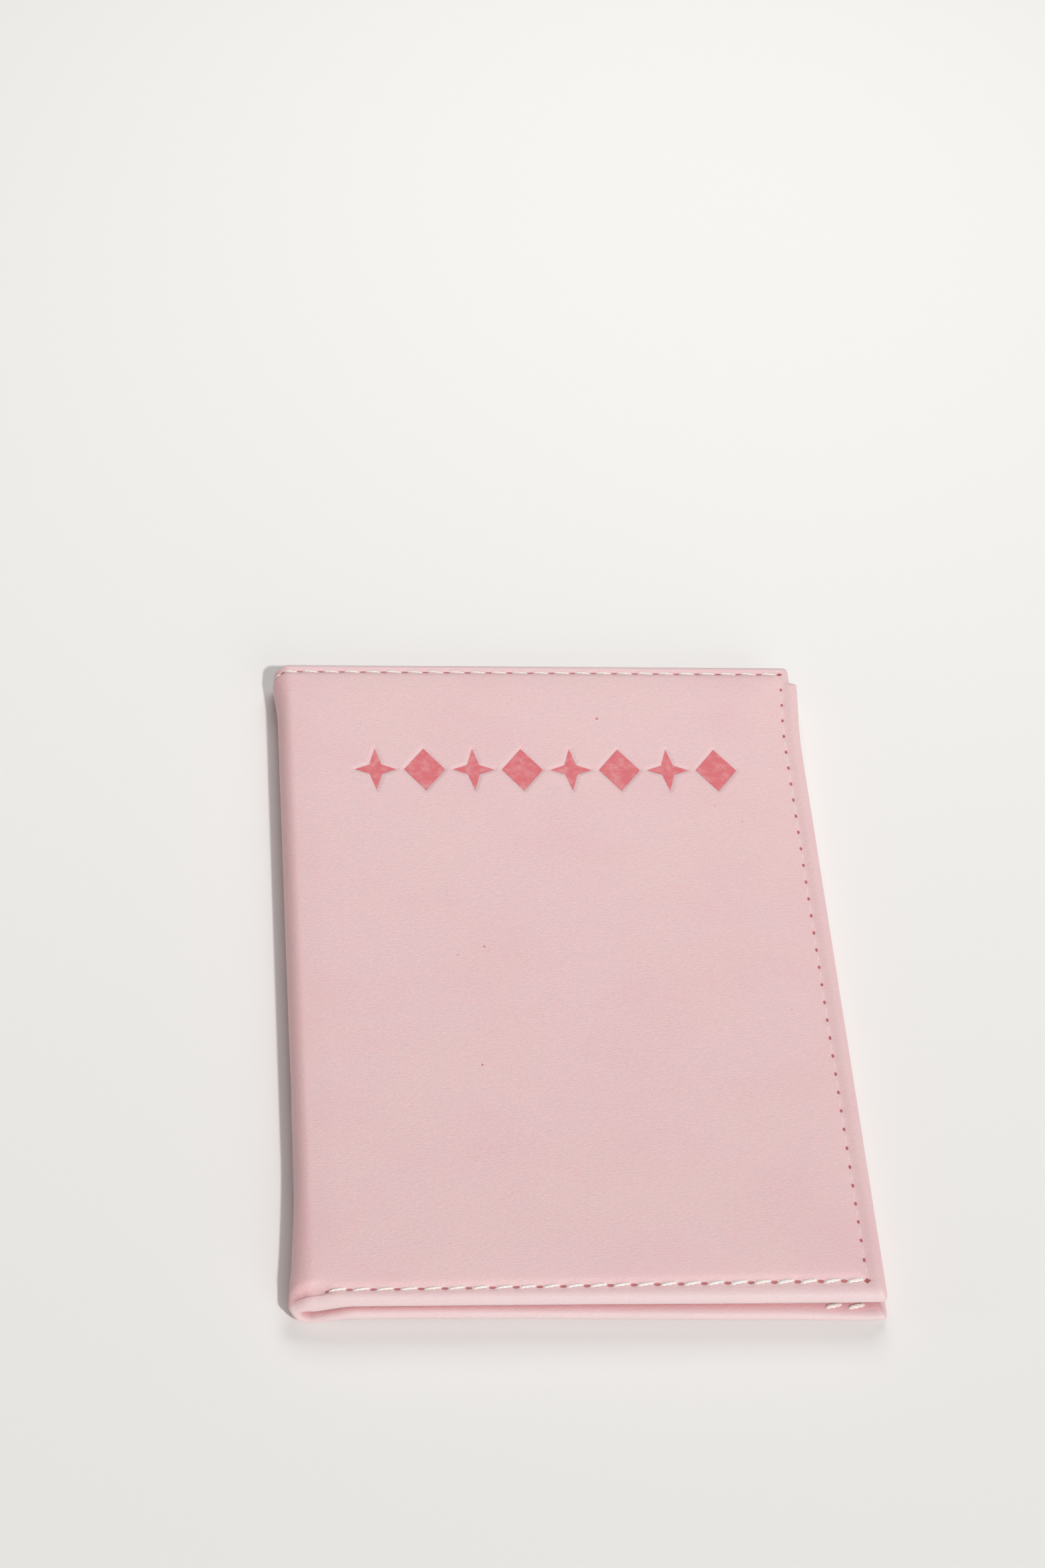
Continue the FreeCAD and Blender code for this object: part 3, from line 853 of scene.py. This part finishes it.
def leather_finish(name, with_holes=True):
    """Leatherette: fine wavy grain across the cover, cloudy pinks and a satin face."""
    finish = Finish(name, roughness=0.52, specular=0.34, sheen=0.10)
    finish.out("Subsurface Weight", 0.22)
    finish.out("Subsurface Radius", (1.0, 0.35, 0.28))
    finish.out("Subsurface Scale", 0.7 * MM)
    grain = finish.cloud(finish.cut_place((1.45, 3.3, 1)), 1.0, 1.0, 0.5, 0.8)
    pores = finish.cloud(finish.cut_place((3.1, 4.2, 1)), 1.0, 1.0, 0.5, 0.2)
    patches = finish.cloud(finish.cut_place((0.045, 0.060, 1)), 1.0, 2.5, 0.5, 0.4)
    warmth = finish.cloud(finish.cut_place((0.030, 0.036, 1), 0.7), 1.3, 2.0, 0.5, 0.3)
    speck = finish.cloud(finish.cut_place((0.55, 0.55, 1), 0.3), 1.0, 1.0, 0.4, 0.0)
    tint = tints()
    face = finish.mix(patches.rise(0.40, 0.70) * 0.5, tint.leather, tint.rose)
    face = finish.mix(warmth.rise(0.42, 0.72) * 0.5, face, tint.peach)
    if with_holes:
        # Painted shade: the spine's roll is tinted redder and darker where it turns away from the light.
        shaded = 1 - finish.cut_parts()[0].rise(-4, 1.5)
        face = finish.mix(shaded * 0.6, face, tint.shaded)
    lines = grain.rise(0.38, 0.60)
    face = finish.mix((1 - lines) * 0.11, face, tuple(part * 0.80 for part in tint.leather))
    face = finish.mix(speck.rise(0.795, 0.83) * 0.75, face, tint.hole)
    height = grain * 0.6 + pores * 0.25
    if with_holes:
        ends, sides = hole_mask(finish)
        rolled, hidden = edge_masks(finish)
        # Painted highlight: the rolled ends are mixed halfway to a pale tone.
        face = finish.mix(rolled * 0.5, face, tint.painted_sheen)
        # Painted shade: the turned-in hem, seen in the gap between the covers, is given a deeper rose.
        face = finish.mix(hidden, face, tint.hem)
        # Painted shade: the needle holes are painted dark red-brown, darker still along the opening edge.
        face = finish.mix(ends * 0.82, face, tint.hole)
        face = finish.mix(sides * 0.9, face, tuple(part * 0.85 for part in tint.hole))
        height = height - ends * 1.5
    finish.out("Base Color", face)
    finish.out("Roughness", 0.60 - lines * 0.12)
    finish.relief(height, 0.12 * MM)
    return finish.material


def thread_finish():
    """Twisted polyester thread with a silky face."""
    finish = Finish("Twisted thread", roughness=0.42, specular=0.5, sheen=0.3)
    fibres = finish.cloud(finish.cut_place((5, 5, 5)), 1.0, 3.0, 0.6, 0.4)
    shade = tuple(part * 0.80 for part in tints().thread)
    clean = finish.mix(fibres.rise(0.35, 0.65), shade, tints().thread)
    across = finish.cut_parts()[0]
    opening = SEAM_ACROSS / MM
    # The opening row's thread is blended most of the way to the leather colour.
    leather_blend = across.rise(opening - 0.5, opening - 0.3) * 0.78
    finish.out("Base Color", finish.mix(leather_blend, clean, tints().leather))
    finish.relief(fibres, 0.03 * MM)
    return finish.material


def foil_finish():
    """Coral pigment foil, thin and cloudy in places."""
    finish = Finish("Coral foil", roughness=0.40, specular=0.45)
    clouds = finish.cloud(finish.solid_place((0.55, 0.55, 0.55)), 1.0, 5.0, 0.68, 0.15)
    grain = finish.cloud(finish.solid_place((0.72, 2.15, 1)), 1.0, 2.0, 0.5, 1.1)
    worn = clouds.rise(0.42, 0.70)
    finish.out("Base Color", finish.mix(worn, tints().foil, tints().foil_worn))
    finish.out("Roughness", 0.36 + grain * 0.14)
    finish.relief(grain, 0.04 * MM)
    return finish.material


def cloth_finish():
    """Plain woven lining cloth."""
    finish = Finish("Lining cloth", roughness=0.85, specular=0.2, sheen=0.25)
    wave = {"Vector": finish.cut_place(), "Scale": 0.62, "Distortion": 0.6, "Detail": 1.0,
            "Detail Scale": 0.8}
    warp = finish.node("ShaderNodeTexWave", {"bands_direction": "X"}, wave, 1)
    weft = finish.node("ShaderNodeTexWave", {"bands_direction": "Y"}, wave, 1)
    weave = warp * weft
    slubs = finish.cloud(finish.cut_place((0.12, 0.9, 1)), 1.0, 2.0, 0.5, 0.0)
    dark = tuple(part * 0.72 for part in tints().lining)
    finish.out("Base Color", finish.mix(weave * 0.7 + slubs * 0.3, dark, tints().lining))
    finish.relief(weave, 0.05 * MM)
    return finish.material


def board_finish():
    """Bare grey stiffener board with short fibres."""
    finish = Finish("Stiffener board", roughness=0.9, specular=0.2)
    fibres = finish.cloud(finish.solid_place((0.8, 2.4, 2.4)), 1.0, 4.0, 0.6, 0.5)
    dark = tuple(part * 0.8 for part in tints().board)
    finish.out("Base Color", finish.mix(fibres, dark, tints().board))
    finish.relief(fibres, 0.03 * MM)
    return finish.material


def shared_finish(name, make):
    """Material made once and used by several pieces."""
    return bpy.data.materials.get(name) or make()


def cover_leather_material():
    """Leather of the covers, with its needle holes."""
    return shared_finish("Pink leatherette", lambda: leather_finish("Pink leatherette"))


def sleeve_material():
    """Leather of the sleeves and pockets, without needle holes."""
    return shared_finish("Sleeve leatherette", lambda: leather_finish("Sleeve leatherette", False))


# ---------------------------------------------------------------- operators

def build_cover(side):
    """Leather and padding of one cover with its half of the spine."""
    name = SIDE_NAME[side]
    piece = finish_piece(cover_skin(side), f"{name}_padded_leather", cover_leather_material())
    bend_at_fold(piece, side)
    nodes = [f"{name}_leather", f"{name}_foam"]
    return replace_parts(piece, *nodes, *(["spine_leather"] if side == FRONT else []))


def build_threads(side):
    """Needle and bobbin stitches of one cover and its half of the spine."""
    name = SIDE_NAME[side]
    for inner, kind in ((False, "needle"), (True, "bobbin")):
        material = shared_finish("Twisted thread", thread_finish)
        piece = finish_piece(cover_stitches(side, inner), f"{name}_{kind}_stitches", material)
        bend_at_fold(piece, side)
        spine = [f"spine_{kind}_thread"] if side == FRONT else []
        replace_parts(piece, f"{name}_{kind}_thread", *spine)


def build_lining(side):
    """Lining cloth of one cover and its half of the spine."""
    name = SIDE_NAME[side]
    tuck = 1.2 * MM
    right = EDGE_ACROSS - HEM_WIDTH + tuck
    high = EDGE_ALONG - HEM_WIDTH + tuck
    across = stations(MID_SPINE, right, lambda at: 0.4 * MM if at < 5 * MM else 1.6 * MM)
    along = stations(-high, high, lambda at: 1.8 * MM)

    def depth_at(surface, at, up):
        ripple = 0.03 * MM * noise.noise(Vector((at, up, 2.0)) / (7 * MM))
        return surface.floor(at) + LINING_CLEAR + ripple

    mesh = sheet_on_cover(side, across, along, depth_at)
    material = shared_finish("Lining cloth", cloth_finish)
    piece = finish_piece(mesh, f"{name}_lining_cloth", material)
    bend_at_fold(piece, side)
    give_thickness(piece, 0.18 * MM)
    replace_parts(piece, f"{name}_lining", *(["spine_lining"] if side == FRONT else []))


def thumb_notch(start, radius):
    """Left edge of a sleeve: straight, with a round thumb cut at its middle."""
    def edge(along):
        if abs(along) >= radius:
            return start
        return start + 0.62 * (math.sqrt(radius * radius - along * along))
    return edge


def build_sleeve(side):
    """Booklet sleeve on the inner side of one cover."""
    name = SIDE_NAME[side]
    low = SLEEVES[name][0]
    tuck = 1.0 * MM
    left = low.x - ROLL_X
    right = EDGE_ACROSS - HEM_WIDTH + tuck
    high = EDGE_ALONG - HEM_WIDTH + tuck
    across = stations(left, right, lambda at: 0.35 * MM if at < left + 3 * MM else 1.5 * MM)
    along = stations(-high, high, lambda at: 0.7 * MM if abs(at) < 11 * MM else 1.6 * MM)
    mouth = thumb_notch(left, 10 * MM) if side == BACK else None

    def depth_at(surface, at, up):
        belly = 0.10 * MM * smooth(high, high - 25 * MM, abs(up)) * smooth(right, right - 20 * MM, at)
        lip = 0.10 * MM * bump(at - left, 1.6 * MM)
        return LINING_DEPTH + SLEEVE_CLEAR + belly + lip

    mesh = sheet_on_cover(side, across, along, depth_at, mouth)
    piece = finish_piece(mesh, f"{name}_booklet_sleeve", sleeve_material())
    give_thickness(piece, 0.35 * MM)
    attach(piece, f"{name}_cover")
    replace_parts(piece, f"{name}_sleeve")


def build_pocket(name, level):
    """Card pocket on the front sleeve, its mouth towards the spine."""
    low, top = POCKETS[name]
    left, right = low.x - ROLL_X, top.x - ROLL_X
    across = stations(left, right, lambda at: 0.3 * MM if at < left + 2 * MM else 1.3 * MM)
    along = stations(low.y, top.y, lambda at: 1.3 * MM)

    def depth_at(surface, at, up):
        middle = smooth(low.y, low.y + 12 * MM, up) * smooth(top.y, top.y - 12 * MM, up)
        lip = 0.08 * MM * bump(at - left, 1.2 * MM)
        return level + (0.10 * MM * smooth(right, right - 12 * MM, at) + lip) * middle

    mesh = sheet_on_cover(FRONT, across, along, depth_at)
    piece = finish_piece(mesh, f"card_pocket_{name}_sheet", sleeve_material())
    give_thickness(piece, 0.28 * MM)
    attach(piece, "front_cover")
    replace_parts(piece, f"card_pocket_{name}")


def build_pocket_thread(level):
    """Rows of stitches that close both ends of the card pockets."""
    low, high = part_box("pocket_thread")
    surface = Surface(FRONT)
    pitch = shape().stitch_pitch
    template = stitch_template()
    mesh = bmesh.new()
    places = {}
    first = low.x - ROLL_X + shape().stitch_length / 2
    count = int((high.x - low.x) / pitch) + 1

    def to_holder(at, rise):
        return surface.place(at.x, at.y, level + rise * 0.7)

    for row in (low.y + HALF_THREAD, high.y - HALF_THREAD):
        for index in range(count):
            middle = Vector((first + index * pitch, row, 0))
            add_stitch(mesh, template, places, middle.__add__, to_holder)
    material = shared_finish("Twisted thread", thread_finish)
    piece = finish_piece(end_seam(mesh, template, places), "pocket_stitches", material)
    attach(piece, "front_cover")
    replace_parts(piece, "pocket_thread")


class HOLDER_OT_covers(bpy.types.Operator):
    """Build both padded leather covers and the spine between them"""
    bl_idname = "holder.covers"
    bl_label = "Leather covers"

    def execute(self, context):
        build_cover(FRONT)
        build_cover(BACK)
        return {"FINISHED"}


class HOLDER_OT_ornament(bpy.types.Operator):
    """Lay the coloured foil in the stamped motifs"""
    bl_idname = "holder.ornament"
    bl_label = "Ornament foil"

    def execute(self, context):
        surface = Surface(FRONT)
        mesh = bmesh.new()
        foil = 0.06 * MM
        for outline in surface.motifs:
            face = mesh.faces.new([mesh.verts.new((*point, 0)) for point in outline])
            bmesh.ops.inset_individual(mesh, faces=[face], thickness=0.5 * MM, use_even_offset=True)
        for vert in mesh.verts:
            lift = surface.padding(vert.co.x, vert.co.y) - shape().deboss + foil
            vert.co = surface.place(vert.co.x, vert.co.y, -lift)
        bmesh.ops.recalc_face_normals(mesh, faces=mesh.faces)
        piece = finish_piece(mesh, "ornament_foil_film", foil_finish())
        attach(piece, "front_cover")
        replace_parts(piece, "ornament_foil")
        return {"FINISHED"}


class HOLDER_OT_threads(bpy.types.Operator):
    """Sew the seam that runs round both covers and the spine"""
    bl_idname = "holder.threads"
    bl_label = "Stitches"

    def execute(self, context):
        build_threads(FRONT)
        build_threads(BACK)
        return {"FINISHED"}


class HOLDER_OT_inside(bpy.types.Operator):
    """Build the lining, the booklet sleeves and the card pockets"""
    bl_idname = "holder.inside"
    bl_label = "Lining, sleeves and pockets"

    def execute(self, context):
        for side in (FRONT, BACK):
            build_lining(side)
            build_sleeve(side)
        deep = LINING_DEPTH + DEEP_POCKET_CLEAR
        shallow = deep + POCKET_STEP
        build_pocket("deep", deep)
        build_pocket("shallow", shallow)
        build_pocket_thread(shallow + POCKET_STITCH_LIFT)
        return {"FINISHED"}


class HOLDER_OT_boards(bpy.types.Operator):
    """Give the stiffener boards their finish"""
    bl_idname = "holder.boards"
    bl_label = "Stiffener boards"

    def execute(self, context):
        material = board_finish()
        for side in ("front", "back"):
            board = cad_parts[f"{side}_board"]
            board.data.materials.clear()
            board.data.materials.append(material)
        return {"FINISHED"}


def table_finish():
    """Pale, plain table top."""
    finish = Finish("Table", roughness=0.75, specular=0.2)
    clouds = finish.cloud(finish.solid_place((0.004, 0.004, 0.004)), 1.0, 2.0)
    shade = tuple(part * 0.985 for part in tints().table)
    finish.out("Base Color", finish.mix(clouds, shade, tints().table))
    return finish.material


def soft_lamp(name, place, aim, size, power):
    """Square lamp at a place, turned to face its aim."""
    light = bpy.data.lights.new(name, "AREA")
    light.size = size
    light.energy = power
    lamp = bpy.data.objects.new(name, light)
    lamp.location = place
    lamp.rotation_euler = (Vector(aim) - Vector(place)).to_track_quat("-Z", "Y").to_euler()
    bpy.context.scene.collection.objects.link(lamp)


class HOLDER_OT_stage(bpy.types.Operator):
    """Set the table, the soft studio light and the camera"""
    bl_idname = "holder.stage"
    bl_label = "Stage"

    def execute(self, context):
        scene = context.scene
        mesh = bmesh.new()
        bmesh.ops.create_grid(mesh, x_segments=4, y_segments=4, size=2.5)
        bmesh.ops.translate(mesh, verts=mesh.verts, vec=(0, 0, -TABLE_GAP))
        data = bpy.data.meshes.new("table")
        mesh.to_mesh(data)
        mesh.free()
        data.materials.append(table_finish())
        table = bpy.data.objects.new("table", data)
        scene.collection.objects.link(table)

        scene.world = bpy.data.worlds.new("Studio")
        scene.world.use_nodes = True
        background = scene.world.node_tree.nodes["Background"]
        background.inputs["Color"].default_value = ROOM_TINT
        background.inputs["Strength"].default_value = ROOM_LIGHT
        for lamp in LAMPS:
            soft_lamp(*lamp)

        camera = bpy.data.cameras.new("camera")
        camera.sensor_width = 36
        camera.lens = 85
        roll = Quaternion((0, 0, 1), math.radians(CAMERA_ROLL))
        tripod = bpy.data.objects.new("camera", camera)
        tripod.location = CAMERA_EYE
        tripod.rotation_euler = ((CAMERA_AIM - CAMERA_EYE).to_track_quat("-Z", "Y") @ roll).to_euler()
        scene.collection.objects.link(tripod)
        scene.camera = tripod
        scene.view_settings.view_transform = "Standard"
        return {"FINISHED"}


class HOLDER_PT_panel(bpy.types.Panel):
    """Lists the holder's sizes, colours and build steps"""
    bl_idname = "HOLDER_PT_panel"
    bl_label = "Passport holder"
    bl_space_type = "VIEW_3D"
    bl_region_type = "UI"
    bl_category = "Passport holder"

    def draw(self, context):
        for group in (context.scene.holder_shape, context.scene.holder_colours):
            box = self.layout.box()
            for name in group.bl_rna.properties.keys():
                if name not in ("rna_type", "name"):
                    box.prop(group, name)
        for operator in OPERATORS:
            self.layout.operator(operator.bl_idname)


OPERATORS = (HOLDER_OT_stage, HOLDER_OT_covers, HOLDER_OT_ornament, HOLDER_OT_threads,
             HOLDER_OT_inside, HOLDER_OT_boards)
CLASSES = (HolderShape, HolderColours, *OPERATORS, HOLDER_PT_panel)


def register():
    """Register the add-on's classes and settings."""
    for item in CLASSES:
        bpy.utils.register_class(item)
    bpy.types.Scene.holder_shape = bpy.props.PointerProperty(type=HolderShape)
    bpy.types.Scene.holder_colours = bpy.props.PointerProperty(type=HolderColours)


def unregister():
    """Remove the add-on's settings and classes."""
    del bpy.types.Scene.holder_colours
    del bpy.types.Scene.holder_shape
    for item in reversed(CLASSES):
        bpy.utils.unregister_class(item)


def main():
    """Build the whole holder and its stage."""
    register()
    bpy.ops.holder.stage()
    bpy.ops.holder.covers()
    bpy.ops.holder.ornament()
    bpy.ops.holder.threads()
    bpy.ops.holder.inside()
    bpy.ops.holder.boards()


if __name__ == "__main__":
    main()
